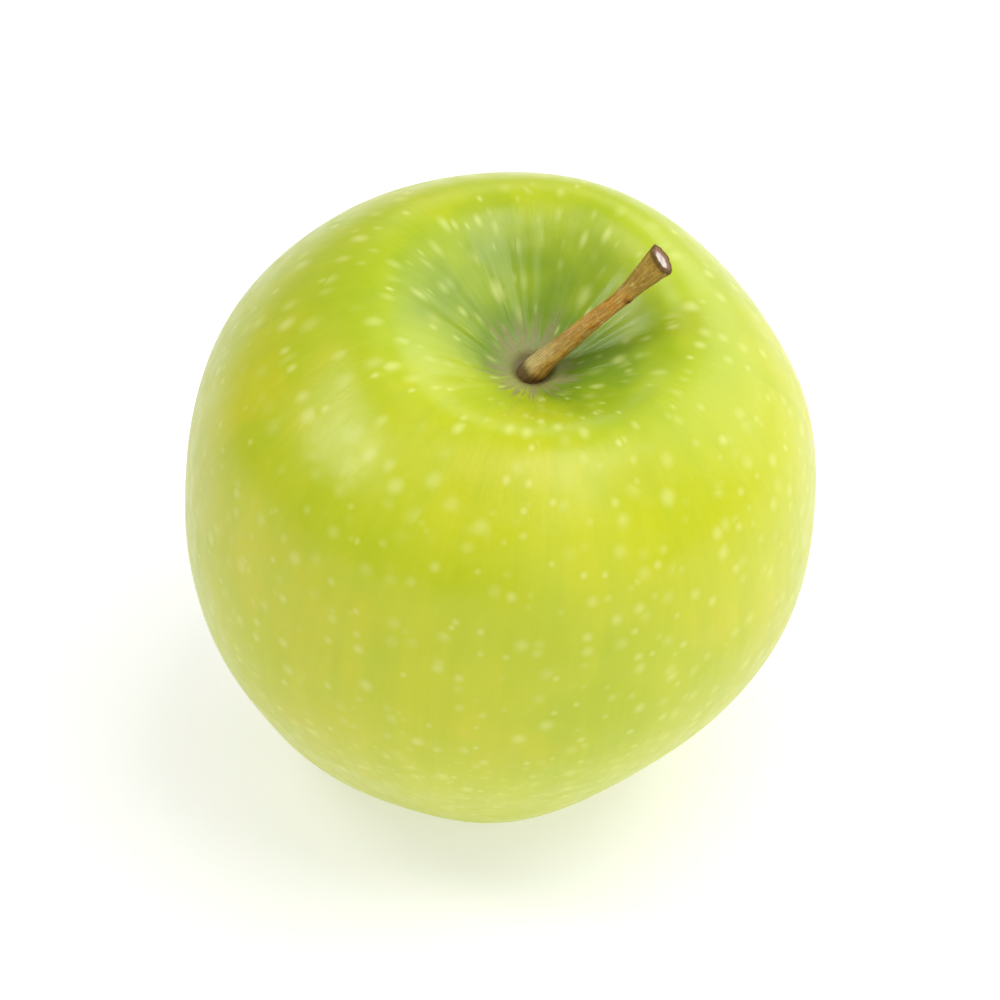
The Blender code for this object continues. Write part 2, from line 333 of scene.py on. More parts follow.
@dataclass(frozen=True)
class Graph:
    """Adds nodes to one shader node tree, of a material, a world or a group, and links them."""

    tree: bpy.types.NodeTree

    def feed(self, socket: Socket, value: object) -> None:
        """Link a socket's value into another socket, or set it there as a constant.

        Args:
            socket: The input to feed.
            value: An output socket, or a plain value.
        """
        if isinstance(value, Socket):
            self.tree.links.new(value, socket)
        else:
            socket.default_value = value

    def fill(self, node: bpy.types.Node, inputs: dict) -> None:
        """Feed a node's inputs, given by their name or place."""
        for key, value in inputs.items():
            self.feed(node.inputs[key], value)

    def add(self, kind: str, inputs: dict, **settings: object) -> bpy.types.Node:
        """Add a node.

        Args:
            kind: The node's type, without its first words.
            inputs: What feeds its inputs, by their name or place.
            settings: The node's own settings.

        Returns:
            The node.
        """
        node = self.tree.nodes.new("ShaderNode" + kind)
        for name, value in settings.items():
            setattr(node, name, value)
        self.fill(node, inputs)
        return node

    def math(self, operation: str, *values: object) -> Socket:
        """Work out one number from others, taken in turn where there are more than two.

        Args:
            operation: The Math node's operation.
            values: Numbers or sockets.

        Returns:
            The result.
        """
        while len(values) > 2:
            values = (self.math(operation, *values[:2]), *values[2:])
        return self.add("Math", dict(enumerate(values)), operation=operation).outputs[0]

    def times(self, *values: object) -> Socket:
        """Multiply numbers."""
        return self.math("MULTIPLY", *values)

    def total(self, *values: object) -> Socket:
        """Add up numbers."""
        return self.math("ADD", *values)

    def step(
        self, value: object, low: object, high: object, start: object = 0.0, end: object = 1.0
    ) -> Socket:
        """Step smoothly from start to end as a value goes from low to high."""
        places = dict(enumerate((value, low, high, start, end)))
        return self.add("MapRange", places, interpolation_type="SMOOTHSTEP").outputs[0]

    def hump(self, value: object, middle: float, reach: float) -> Socket:
        """Rise to 1 at the middle and fall to 0 some way to both sides."""
        away = self.math("ABSOLUTE", self.math("SUBTRACT", value, middle))
        return self.step(away, 0.0, reach, 1.0, 0.0)

    def mix(self, share: object, first: object, second: object) -> Socket:
        """Mix two colours."""
        places = {0: share, 6: first, 7: second}
        return self.add("Mix", places, data_type="RGBA").outputs[2]

    def paint(self, colour: object, *coats: tuple) -> Socket:
        """Lay coats over a colour, each over the ones before.

        Args:
            colour: The colour below them all.
            coats: Each coat's mask, how strong it is, and its colour.

        Returns:
            The colour that shows.
        """
        for mask, share, over in coats:
            colour = self.mix(self.times(mask, share), colour, over)
        return colour

    def group(self, tree: bpy.types.NodeTree, *values: object) -> Socket:
        """Place a node group and feed its inputs in turn."""
        return self.add("Group", dict(enumerate(values)), node_tree=tree).outputs[0]

    def value(self, title: str) -> Socket:
        """Read one of the mesh's numbers by its attribute's name."""
        return self.add("Attribute", {}, attribute_name=title).outputs["Fac"]

    def vector(self, title: str) -> Socket:
        """Read one of the mesh's vectors by its attribute's name."""
        return self.add("Attribute", {}, attribute_name=title).outputs["Vector"]

    def vectors(self, operation: str, *values: object) -> Socket:
        """Work out a vector, or a number, from vectors."""
        made = self.add("VectorMath", dict(enumerate(values)), operation=operation)
        return made.outputs["Value" if operation in NUMBER_OPERATIONS else "Vector"]

    def scaled(self, place: object, factor: object) -> Socket:
        """Scale a place about the origin."""
        inputs = {0: place, "Scale": factor}
        return self.add("VectorMath", inputs, operation="SCALE").outputs[0]

    def millimetres(self) -> Socket:
        """Read the place on the piece, in millimetres."""
        return self.scaled(self.add("TexCoord", {}).outputs["Object"], 1 / MILLIMETRE)

    def polar(self, ring: object, along: object, across_cells: object, long_cells: object) -> Socket:
        """Make a place without a seam that runs round a piece and along it."""
        high = self.add("CombineXYZ", {"Z": self.times(along, long_cells)}).outputs[0]
        return self.vectors("ADD", self.scaled(ring, across_cells), high)

    def noise(self, place: object, scale: object, detail: float = 2.0, rough: float = 0.5) -> Socket:
        """Read soft random noise."""
        inputs = {"Vector": place, "Scale": scale, "Detail": detail, "Roughness": rough}
        return self.add("TexNoise", inputs).outputs[0]

    def bump(self, height: Socket) -> Socket:
        """Bend the surface's normal by a height in millimetres."""
        return self.add("Bump", {"Height": height, "Distance": MILLIMETRE}).outputs[0]


class Effects:
    """The node groups that several finishes place, each with its own values."""

    def __init__(self) -> None:
        """Build each group once."""
        self.mottle_group = self._build_mottle()
        self.streaks_group = self._build_streaks()
        self.spots_group = self._build_spots()

    @staticmethod
    def _open(name: str, vectors: tuple[str, ...], numbers: tuple[str, ...]) -> tuple:
        """Start a group that puts out one mask.

        Args:
            name: The group's name.
            vectors: Names of its vector inputs.
            numbers: Names of its number inputs.

        Returns:
            The group's graph, its inputs by name, and the socket of its mask.
        """
        tree = bpy.data.node_groups.new(name, "ShaderNodeTree")
        for title in vectors:
            tree.interface.new_socket(title, in_out="INPUT", socket_type="NodeSocketVector")
        for title in numbers:
            tree.interface.new_socket(title, in_out="INPUT", socket_type="NodeSocketFloat")
        tree.interface.new_socket("Mask", in_out="OUTPUT", socket_type="NodeSocketFloat")
        inputs = tree.nodes.new("NodeGroupInput").outputs
        return Graph(tree), inputs, tree.nodes.new("NodeGroupOutput").inputs["Mask"]

    def _build_mottle(self) -> bpy.types.NodeTree:
        """Build soft patches: noise in space, stepped between two levels."""
        graph, inputs, mask = self._open("mottle", ("Place",), ("Scale", "Low", "High"))
        cloud = graph.noise(inputs["Place"], inputs["Scale"], 3.0, 0.55)
        graph.feed(mask, graph.step(cloud, inputs["Low"], inputs["High"]))
        return graph.tree

    def _build_streaks(self) -> bpy.types.NodeTree:
        """Build lengthwise streaks: noise round and along a piece, stepped between two levels."""
        numbers = ("Along", "Across Cells", "Long Cells", "Low", "High")
        graph, inputs, mask = self._open("lengthwise_streaks", ("Ring",), numbers)
        place = graph.polar(
            inputs["Ring"], inputs["Along"], inputs["Across Cells"], inputs["Long Cells"]
        )
        grain = graph.noise(place, 1.0, 3.0, 0.6)
        graph.feed(mask, graph.step(grain, inputs["Low"], inputs["High"]))
        return graph.tree

    def _build_spots(self) -> bpy.types.NodeTree:
        """Build soft spots of uneven size, one in each cell that the surface cuts.

        The cells fill space. A cell's middle is moved to the surface before the distance to it is
        taken: its part along the axes that Wrap keeps gets the length that the place has there. A
        spot's radius is Size times 0.55 to 1.3, and it fades out over its outer part, Edge. A cell
        whose middle is far off the surface has none, because its edge would cut it.
        """
        graph, inputs, mask = self._open("spots", ("Place", "Wrap"), ("Size", "Edge"))
        place, wrap = inputs["Place"], inputs["Wrap"]
        cells = graph.add("TexVoronoi", {"Vector": place, "Scale": 1.0, "Randomness": 0.85})
        middle = cells.outputs["Position"]
        there = graph.vectors("MULTIPLY", middle, wrap)
        wanted = graph.vectors("LENGTH", graph.vectors("MULTIPLY", place, wrap))
        length = graph.vectors("LENGTH", there)
        off = graph.math("ABSOLUTE", graph.math("SUBTRACT", wanted, length))
        whole = graph.step(off, 0.30, 0.44, 1.0, 0.0)
        stretch = graph.math("DIVIDE", wanted, length)
        shift = graph.scaled(there, graph.math("SUBTRACT", stretch, 1.0))
        away = graph.vectors("DISTANCE", place, graph.vectors("ADD", middle, shift))
        chance = graph.add("SeparateColor", {"Color": cells.outputs["Color"]}).outputs
        radius = graph.times(inputs["Size"], graph.step(chance[0], 0.0, 1.0, 0.55, 1.3))
        inner = graph.times(radius, graph.math("SUBTRACT", 1.0, inputs["Edge"]))
        spot = graph.step(away, inner, radius, 1.0, 0.0)
        graph.feed(mask, graph.times(spot, whole, graph.step(chance[1], 0.0, 1.0, 0.35, 1.0)))
        return graph.tree

    def mottle(self, graph: Graph, place: Socket, patches: Patches) -> Socket:
        """Place soft patches, by their scale and the noise where one starts and where it is full."""
        return graph.group(self.mottle_group, place, *patches)

    def streaks(self, graph: Graph, polar: Polar, streaks: Streaks) -> Socket:
        """Place lengthwise streaks, by their cells round and along and the same two noise levels."""
        return graph.group(self.streaks_group, *polar, *streaks)

    def spots(self, graph: Graph, place: Socket, wrap: Wrap, size: float, edge: float) -> Socket:
        """Place soft spots, by their radius in cells and the share of it over which they fade."""
        return graph.group(self.spots_group, place, wrap.value, size, edge)


def new_shader(name: str) -> tuple[Finish, Graph, bpy.types.Node]:
    """Start a material.

    Args:
        name: The material's name.

    Returns:
        The material, the graph of its nodes, and its Principled shader.
    """
    made = bpy.data.materials.new(name)
    made.use_nodes = True
    return made, Graph(made.node_tree), made.node_tree.nodes["Principled BSDF"]


@dataclass(frozen=True)
class SkinPlace:
    """What each layer of the skin reads: a place, how far down the skin it is, and where round."""

    graph: Graph
    place: Socket
    reach: Socket
    polar: Polar

    def fade(self, levels: Fade) -> Socket:
        """Step down the skin, by where the step starts and ends and its values there."""
        return self.graph.step(self.reach, *levels)


@dataclass(frozen=True)
class AppleSkin:
    """Waxy yellow-green skin with pale pores, a greener cavity that is partly painted shade, and
    russet round the stem with painted shade in the crevice at its root.

    Distances down the skin are in millimetres from the middle of the cavity. A fade gives where it
    starts and ends down the skin, and its strength before and after.
    """

    effects: Effects
    length: float
    middle_height: float = 37.5
    yellow: Colour = srgb(204, 208, 10)
    green: Colour = srgb(184, 200, 18)
    warm: Colour = srgb(220, 208, 18)
    leaf: Colour = srgb(160, 188, 22)
    pale: Colour = srgb(212, 218, 62)
    cavity: Colour = srgb(112, 150, 26)
    deep_green_and_shade: Colour = srgb(82, 120, 26)
    russet: Colour = srgb(150, 140, 92)
    # Dark russet, and painted shade in the crevice round the stem's root.
    collar_and_shade: Colour = srgb(96, 74, 42)
    pore: Colour = srgb(236, 240, 150)
    basin: Colour = srgb(150, 172, 46)
    ground_patches: Patches = (0.030, 0.36, 0.64)
    warm_patches: Patches = (0.055, 0.50, 0.66)
    pale_patches: Patches = (0.16, 0.30, 0.75)
    russet_patches: Patches = (1.3, 0.30, 0.60)
    broad_streaks: Streaks = (8.0, 4.0, 0.35, 0.75)
    fine_streaks: Streaks = (34.0, 14.0, 0.42, 0.78)
    relief_streaks: Streaks = (26.0, 20.0, 0.2, 0.8)
    russet_rays: Streaks = (8.0, 9.0, 0.36, 0.66)
    pale_fade: Fade = (66.0, 104.0, 0.0, 0.50)
    # Painted shade, partly the skin's own green: these three fades darken the skin down the cavity
    # to its floor.
    leaf_shade_fade: Fade = (16.0, 42.0, 0.55, 0.0)
    cavity_shade_fade: Fade = (6.0, 24.0, 0.70, 0.0)
    deep_shade_fade: Fade = (1.0, 15.0, 0.48, 0.0)
    basin_fade: Fade = (108.0, 118.0, 0.0, 0.6)
    collar_shade_fade: Fade = (1.5, 2.9, 0.68, 0.0)
    # The bright side, round the core, where the cavity's painted shade ends sooner.
    bright_side: float = math.radians(-118)
    bright_shift: Fade = (0.45, 1.0, 0.0, 13.0)
    cloud_scale: float = 0.12
    cloud_shift: Fade = (0.3, 0.7, -3.5, 3.5)
    pore_strength: float = 0.46
    pore_edge: float = 1.0
    dash_cells: Pair = (4.2, 8.2)
    dot_cells: Pair = (0.33, 0.45)
    dash_length: float = 30.0
    ray_length: float = 4.2
    ray_fade: Fade = (1.6, 5.6, 0.85, 0.0)
    russet_gaps: Fade = (0.0, 1.0, 0.62, 1.0)
    wax_noise: Pair = (0.35, 3.0)
    wax_roughness: Fade = (0.3, 0.7, 0.28, 0.38)
    pore_roughness: float = 0.08
    russet_roughness: float = 0.28
    wax_relief: float = 0.020
    wax_scale: float = 1.1
    line_relief: float = 0.014
    pore_relief: float = 0.012
    scurf_relief: float = 0.10
    scurf_scale: float = 3.2
    coat_weight: float = 0.10
    coat_roughness: float = 0.25
    specular_level: float = 0.44

    def material(self) -> Finish:
        """Build the skin's material."""
        made, graph, shader = new_shader("apple_skin")
        reach = graph.value("reach")
        polar = (graph.vector("ring"), graph.times(reach, 1 / self.length))
        at = SkinPlace(graph, graph.millimetres(), reach, polar)
        pores, russet = self._pores(at), self._russet(at)
        colour = graph.paint(
            self._ground(at),
            (pores, self.pore_strength, self.pore),
            (russet, 1.0, self.russet),
            # Painted shade in the crevice round the stem's root, over dark russet.
            (at.fade(self.collar_shade_fade), 1.0, self.collar_and_shade),
        )
        rough = graph.total(
            graph.step(graph.noise(at.place, *self.wax_noise), *self.wax_roughness),
            graph.times(pores, self.pore_roughness),
            graph.times(russet, self.russet_roughness),
        )
        inputs = {
            "Base Color": colour,
            "Roughness": rough,
            "Normal": self._relief(at, pores, russet),
            "Specular IOR Level": self.specular_level,
            "Coat Weight": self.coat_weight,
            "Coat Roughness": self.coat_roughness,
        }
        graph.fill(shader, inputs)
        return made

    def _ground(self, at: SkinPlace) -> Socket:
        """Mix the greens and yellows that lie under the pores.

        The cavity's greens, darkest at its floor, are partly the skin's own colour and partly
        painted shade on the cavity's walls. They end nearer to the stem on the bright side, where
        less shade is painted.

        Args:
            at: What the layer reads.

        Returns:
            The colour.
        """
        effects, graph = self.effects, at.graph
        # How far down the cavity the painted shade reaches, less far on the bright side.
        heading = (math.cos(self.bright_side), math.sin(self.bright_side), 0.0)
        facing = graph.vectors("DOT_PRODUCT", at.polar[0], heading)
        bright_offset = graph.step(facing, *self.bright_shift)
        clouds = graph.step(graph.noise(at.place, self.cloud_scale), *self.cloud_shift)
        shaded = graph.total(at.reach, bright_offset, clouds)
        return graph.paint(
            self.yellow,
            (effects.mottle(graph, at.place, self.ground_patches), 0.8, self.green),
            (effects.mottle(graph, at.place, self.warm_patches), 0.38, self.warm),
            (effects.streaks(graph, at.polar, self.broad_streaks), 0.24, self.leaf),
            (effects.streaks(graph, at.polar, self.fine_streaks), 0.14, self.pale),
            (effects.mottle(graph, at.place, self.pale_patches), 0.20, self.pale),
            (at.fade(self.pale_fade), 1.0, self.pale),
            # Painted shade in the cavity, partly the skin's own green, darkest at its floor.
            (graph.step(shaded, *self.leaf_shade_fade), 1.0, self.leaf),
            (graph.step(shaded, *self.cavity_shade_fade), 1.0, self.cavity),
            (graph.step(shaded, *self.deep_shade_fade), 1.0, self.deep_green_and_shade),
            (at.fade(self.basin_fade), 1.0, self.basin),
        )

    def _pores(self, at: SkinPlace) -> Socket:
        """Scatter the pale pores: dashes that point at the stem above, round dots lower down.

        Args:
            at: What the layer reads.

        Returns:
            How much of the surface is pore, 0 to 1.
        """
        graph = at.graph
        ball = graph.vectors("SUBTRACT", at.place, (0.0, 0.0, self.middle_height))
        inner, outer = (graph.polar(*at.polar, cells, self.dash_length) for cells in self.dash_cells)
        flank, low = (graph.scaled(ball, cells) for cells in self.dot_cells)
        layers = (
            (inner, Wrap.TUBE, 0.38, (3.5, 6.0, 0.0, 1.0), (12.0, 16.0, 1.0, 0.0)),
            (outer, Wrap.TUBE, 0.36, (12.0, 16.0, 0.0, 1.0), (30.0, 42.0, 1.0, 0.0)),
            (flank, Wrap.BALL, 0.36, (30.0, 42.0, 0.0, 0.8), (88.0, 104.0, 1.0, 0.0)),
            (low, Wrap.BALL, 0.38, (64.0, 88.0, 0.0, 0.8), (104.0, 114.0, 1.0, 0.0)),
        )
        parts = [
            graph.times(
                self.effects.spots(graph, cells, wrap, size, self.pore_edge),
                at.fade(start),
                at.fade(end),
            )
            for cells, wrap, size, start, end in layers
        ]
        return graph.math("MINIMUM", graph.total(*parts), 1.0)

    def _russet(self, at: SkinPlace) -> Socket:
        """Spread the russet round the stem's root in rays.

        Args:
            at: What the layer reads.

        Returns:
            How much of the surface is russet, 0 to 1.
        """
        graph = at.graph
        rays = self.effects.streaks(graph, at.polar, self.russet_rays)
        grain = self.effects.mottle(graph, at.place, self.russet_patches)
        reached = graph.math("SUBTRACT", at.reach, graph.times(rays, self.ray_length))
        wide = graph.step(reached, *self.ray_fade)
        return graph.times(wide, graph.step(grain, *self.russet_gaps))

    def _relief(self, at: SkinPlace, pores: Socket, russet: Socket) -> Socket:
        """Raise the finest relief: wax grain, faint lengthwise lines, pores and russet scurf.

        Args:
            at: What the layer reads.
            pores: Where the pores are.
            russet: Where the russet is.

        Returns:
            The bent normal.
        """
        graph = at.graph
        lines = self.effects.streaks(graph, at.polar, self.relief_streaks)
        height = graph.total(
            graph.times(graph.noise(at.place, self.wax_scale), self.wax_relief),
            graph.times(lines, self.line_relief),
            graph.times(pores, self.pore_relief),
            graph.times(russet, graph.noise(at.place, self.scurf_scale), self.scurf_relief),
        )
        return graph.bump(height)


@dataclass(frozen=True)
class Bark:
    """Dry woody bark with lengthwise grain, a darker knuckle and a pale cut end, with a painted
    highlight on its upper side and painted shade under it and at its foot.

    On the stem's unit circle the first number is 1 on the side to the viewer, and the second is 1
    on the side below. A fade gives where it starts and ends along the stem, and its strength
    before and after.
    """

    effects: Effects
    knuckle: float
    # Tan bark, also the painted highlight on the stem's upper side.
    tan: Colour = srgb(230, 210, 144)
    orange: Colour = srgb(222, 164, 62)
    brown: Colour = srgb(176, 116, 44)
    dark: Colour = srgb(70, 42, 20)
    # Dark bark, also the painted shade under the stem and at its foot.
    red: Colour = srgb(100, 34, 20)
    olive: Colour = srgb(170, 144, 56)
    wood: Colour = srgb(150, 112, 88)
    pith: Colour = srgb(246, 236, 228)
    grain: Streaks = (2.2, 5.0, 0.36, 0.66)
    cracks: Streaks = (6.5, 16.0, 0.34, 0.70)
    clouds: Patches = (0.55, 0.34, 0.66)
    specks: Patches = (1.6, 0.58, 0.70)
    # These fades and sides place the painted highlight on the upper side and the painted shade under
    # the stem and at its foot.
    highlight_fade: Fade = (0.16, 0.50, 1.0, 0.0)
    shade_fade: Fade = (0.25, 0.60, 0.75, 0.3)
    foot_shade_fade: Fade = (0.135, 0.185, 0.8, 0.0)
    rim_fade: Fade = (0.965, 0.995, 0.0, 0.75)
    highlight_side: Fade = (-0.85, 0.10, 1.0, 0.0)
    shade_side: Fade = (0.20, 0.95, 0.0, 1.0)
    mark_side: Fade = (-0.6, 0.5, 0.0, 1.0)
    mark_reach: float = 0.022
    flare_rise: Pair = (-0.01, 0.07)
    cut_edge: Pair = (0.14, 0.30)
    pith_edge: Pair = (0.34, 0.58)
    crack_depth: float = 0.07
    grain_depth: float = 0.05
    rough_height: float = 0.06
    rough_noise: Pair = (4.0, 3.0)
    roughness: Fade = (0.0, 1.0, 0.55, 0.75)
    specular_level: float = 0.20

    def material(self) -> Finish:
        """Build the bark's material."""
        made, graph, shader = new_shader("stem_bark")
        effects = self.effects
        place = graph.millimetres()
        along = graph.value("along")
        inner = graph.value("inner")
        ring = graph.vector("ring")
        below = graph.add("SeparateXYZ", {0: ring}).outputs["Y"]
        polar = (ring, along)
        grain = effects.streaks(graph, polar, self.grain)
        fine = effects.streaks(graph, polar, self.cracks)
        cloudy = effects.mottle(graph, place, self.clouds)
        specks = effects.mottle(graph, place, self.specks)
        # Painted highlight along the upper side of the stem's lower stretch.
        root = graph.step(along, *self.highlight_fade)
        painted_highlight = graph.times(root, graph.step(below, *self.highlight_side))
        flare = graph.step(along, *(self.knuckle + end for end in self.flare_rise))
        # Painted shade on the stem's underside, strongest near its root.
        painted_under_shade = graph.times(graph.step(below, *self.shade_side), graph.step(along, *self.shade_fade))
        mark = graph.hump(along, self.knuckle, self.mark_reach)
        cut = graph.paint(
            self.wood,
            (graph.step(inner, *self.pith_edge), 1.0, self.pith),
            (cloudy, 0.20, self.brown),
        )
        colour = graph.paint(
            self.orange,
            # Painted highlight on the upper side near the root.
            (grain, 0.75, self.brown),
            (painted_highlight, 0.85, self.tan),
            (cloudy, 0.30, self.tan),
            (flare, 0.70, self.olive),
            (fine, 0.38, self.dark),
            (specks, 0.40, self.tan),
            # Painted shade on the underside.
            (painted_under_shade, 1.0, self.dark),
            (graph.times(mark, graph.step(below, *self.mark_side)), 0.9, self.red),
            # Painted shade at the stem's foot, where it goes into the cavity.
            (graph.step(along, *self.foot_shade_fade), 1.0, self.dark),
            (graph.step(along, *self.rim_fade), 1.0, self.dark),
            (graph.step(inner, *self.cut_edge), 1.0, cut),
        )
        height = graph.total(
            graph.times(fine, -self.crack_depth),
            graph.times(grain, -self.grain_depth),
            graph.times(graph.noise(place, *self.rough_noise), self.rough_height),
        )
        inputs = {
            "Base Color": colour,
            "Roughness": graph.step(grain, *self.roughness),
            "Normal": graph.bump(height),
            "Specular IOR Level": self.specular_level,
        }
        graph.fill(shader, inputs)
        return made


@dataclass(frozen=True)
class DryTissue:
    """Dried leaf tissue, brown over grey-green, with a woolly bloom."""

    effects: Effects
    name: str
    brown: Colour
    green: Colour
    dark: Colour = srgb(56, 40, 26)
    bloom: Colour = srgb(176, 168, 132)
    veins: Streaks = (3.0, 3.0, 0.36, 0.66)
    clouds: Patches = (0.9, 0.34, 0.66)
    specks: Patches = (2.2, 0.56, 0.68)
    tip: Pair = (0.55, 1.0)
    bloom_share: float = 0.35
    fuzz_scale: float = 3.5
    relief: float = 0.10
    roughness: Fade = (0.0, 1.0, 0.72, 0.88)
    sheen_weight: float = 0.25

    def material(self) -> Finish:
        """Build the dried tissue's material."""
        made, graph, shader = new_shader(self.name)
        effects = self.effects
        place = graph.millimetres()
        along = graph.value("along")
        veins = effects.streaks(graph, (graph.vector("ring"), along), self.veins)
        cloudy = effects.mottle(graph, place, self.clouds)
        specks = effects.mottle(graph, place, self.specks)
        colour = graph.paint(
            self.brown,
            (cloudy, 1.0, self.green),
            (veins, 0.5, self.dark),
            (graph.step(along, *self.tip), 0.75, self.dark),
            (specks, self.bloom_share, self.bloom),
        )
        height = graph.times(graph.total(veins, graph.noise(place, self.fuzz_scale)), self.relief)
        inputs = {
            "Base Color": colour,
            "Roughness": graph.step(cloudy, *self.roughness),
            "Normal": graph.bump(height),
            "Sheen Weight": self.sheen_weight,
        }
        graph.fill(shader, inputs)
        return made


@dataclass(frozen=True)
class PaleBoard:
    """The floor's smooth white board, which glows faintly so that its shadow stays soft."""

    effects: Effects
    white: Colour = (0.62, 0.62, 0.62, 1.0)
    shade: Colour = (0.608, 0.610, 0.612, 1.0)
    clouds: Patches = (0.01, 0.3, 0.7)
    roughness: float = 0.65
    glow: float = 0.78

    def material(self) -> Finish:
        """Build the board's material."""
        made, graph, shader = new_shader("pale_board")
        colour = graph.mix(
            self.effects.mottle(graph, graph.millimetres(), self.clouds), self.white, self.shade
        )
        inputs = {
            "Base Color": colour,
            "Emission Color": colour,
            "Roughness": self.roughness,
            "Emission Strength": self.glow,
        }
        graph.fill(shader, inputs)
        return made


@dataclass(frozen=True)
class FruitForm:
    """The fruit's shape, from the driving sizes of its solid.

    Half of the section is a smooth line through points, from the middle of the cavity, over the
    crest and the widest ring, to the middle of the basin. It is turned round the core, swollen in
    lobes, and leant.
    """

    diameter: float = 0.0770
    crest_height: float = 0.0300
    crest_radius: float = 0.0186
    cavity_depth: float = 0.0083
    base_depth: float = 0.0391
    base_radius: float = 0.0124
    basin_depth: float = 0.0066
    waist_height: float = 0.0396
    crest_knot: int = 4
    waist_knot: int = 7
    base_knot: int = 11
    lobes: int = 5
    lobe_turn: float = math.radians(-82)
    swell_shoulder: float = 0.008
    swell_waist: float = 0.004
    swell_base: float = 0.024
    lobe_drop: float = 0.0009
    lobe_drop_width: float = 0.055
    lobe_waves: Waves = ((0.15, 1, -0.9), (0.10, 2, 1.7))
    shoulder_waves: Waves = ((-0.00070, 3, 0.3), (-0.00042, 2, 0.2))
    shoulder_width: float = 0.085
    oval: float = 0.006
    oval_turn: float = math.radians(35)
    fuller_swell: float = 0.026
    fuller_side: float = math.radians(172)
    fuller_share: float = 0.30
    fuller_width: float = 0.10
    cavity_right: float = 0.0024
    cavity_forward: float = 0.0023
    shoulder_tilt: float = 0.215
    tilt_heading: float = math.radians(-70)
    tilt_fade: tuple[float, float] = (0.10, 0.37)
    lean_right: float = math.radians(4)
    lean_forward: float = math.radians(2)

    def outline(self) -> Array:
        """List the points of half the section, as rows of radius and height."""
        radius = self.diameter / 2
        crest, base, basin = self.crest_height, self.base_depth, self.basin_depth
        return np.array(
            [
                (0.0, crest - self.cavity_depth),
                (0.14 * self.crest_radius, crest - 0.95 * self.cavity_depth),
                (0.35 * self.crest_radius, crest - 0.71 * self.cavity_depth),
                (0.62 * self.crest_radius, crest - 0.33 * self.cavity_depth),
                (self.crest_radius, crest),
                (0.714 * radius, 0.862 * crest),
                (0.915 * radius, 0.553 * crest),
                (radius, 0.0),
                (0.940 * radius, -0.385 * base),
                (0.760 * radius, -0.708 * base),
                (0.526 * radius, -0.955 * base),
                (self.base_radius, -base),
                (0.60 * self.base_radius, 0.50 * basin - base),
                (0.33 * self.base_radius, 0.93 * basin - base),
                (0.0, basin - base),
            ]
        )

    def chords(self) -> Array:
        """Measure the straight steps between the section's points."""
        return np.linalg.norm(np.diff(self.outline(), axis=0), axis=1)

    def length(self) -> float:
        """Measure the section from the cavity's middle to the basin's."""
        return float(self.chords().sum())

    def knots(self) -> Array:
        """Say how far along the section each of its points is, from 0 to 1."""
        return np.concatenate([[0.0], np.cumsum(self.chords())]) / self.length()

    def section(self, share: Array) -> Array:
        """Read the section, continued across the core at both ends so that it meets it level.

        Args:
            share: How far along the section, 0 to 1.

        Returns:
            Radius and height along the last axis.
        """
        knots, points = self.knots(), self.outline()
        mirror = np.array([-1.0, 1.0])
        all_knots = np.concatenate([-knots[3:0:-1], knots, 2 - knots[-2:-5:-1]])
        all_points = np.concatenate([points[3:0:-1] * mirror, points, points[-2:-5:-1] * mirror])
        return spline(all_knots, all_points, share)

    def towards_base(self, share: Array) -> Array:
        """Step from 0 at the widest ring to 1 where the fruit stands."""
        knots = self.knots()
        return ease(knots[self.waist_knot], knots[self.base_knot], share)

    def points(self, share: Array, angle: Array) -> Array:
        """Place the skin before it leans, from the middle of the widest ring.

        The radius is the section's, times 1 plus the lobes, an oval wave and the fuller shoulder.
        The height is the section's, less a drop under each lobe, plus waves on the shoulders.
        Towards the stem the rings move off the core, and fall on the side that the cavity opens to.

        Args:
            share: How far along the section.
            angle: The angle round the core.

        Returns:
            Points along the last axis.
        """
        knots = self.knots()
        crest, waist, base = (knots[k] for k in (self.crest_knot, self.waist_knot, self.base_knot))
        radius, height = np.moveaxis(self.section(share), -1, 0)
        lobe = np.cos(self.lobes * (angle - self.lobe_turn))
        swell = (
            self.swell_waist
            + (self.swell_shoulder - self.swell_waist) * (1 - ease(crest, waist, share))
            + (self.swell_base - self.swell_waist) * self.towards_base(share)
        )
        lobed = swell * lobe * (1 + waves(self.lobe_waves, angle))
        oval = self.oval * np.cos(2 * (angle - self.oval_turn))
        fuller = (
            self.fuller_swell
            * np.cos(angle - self.fuller_side)
            * bell(self.fuller_share, self.fuller_width, share)
        )
        radius = radius * (1 + lobed + oval + fuller)
        height = height - self.lobe_drop * lobe * bell(base, self.lobe_drop_width, share)
        height = height + waves(self.shoulder_waves, angle) * bell(crest, self.shoulder_width, share)
        shift = 1 - ease(0.0, waist, share)
        right = radius * np.cos(angle) + self.cavity_right * shift
        back = radius * np.sin(angle) - self.cavity_forward * shift
        heading = right * math.cos(self.tilt_heading) + back * math.sin(self.tilt_heading)
        height = height - self.shoulder_tilt * heading * (1 - ease(*self.tilt_fade, share))
        return np.stack([right, back, height], axis=-1)

    def turn(self) -> Array:
        """Give the turn of the core, to the right and towards the viewer, as a matrix."""
        right = Matrix.Rotation(self.lean_right, 3, "Y")
        return np.array(right @ Matrix.Rotation(self.lean_forward, 3, "X"))

    def stand(self, points: Array, to_base: Array) -> Array:
        """Lean points about the middle of the widest ring and lift them above the floor.

        Args:
            points: Points before they lean.
            to_base: 1 at the base, whose lobes are of uneven length, so that they stand level.

        Returns:
            The points where they stand.
        """
        turn = self.turn()
        level = points * np.array([1.0, 1.0, 0.0]) @ turn.T
        placed = points @ turn.T
        placed[..., 2] += self.waist_height - level[..., 2] * to_base
        return placed

    def middle(self, share: float) -> Array:
        """Place the middle of the cavity's or the basin's floor, at a share of 0 or 1."""
        ends = np.array([share])
        return self.stand(self.points(ends, 0 * ends), self.towards_base(ends))[0]

    def cavity_floor(self) -> Array:
        """Place the middle of the cavity's floor, where the stem's root goes in."""
        return self.middle(0.0)

    def basin_floor(self) -> Array:
        """Place the middle of the basin's floor, where the calyx is set in."""
        return self.middle(1.0)


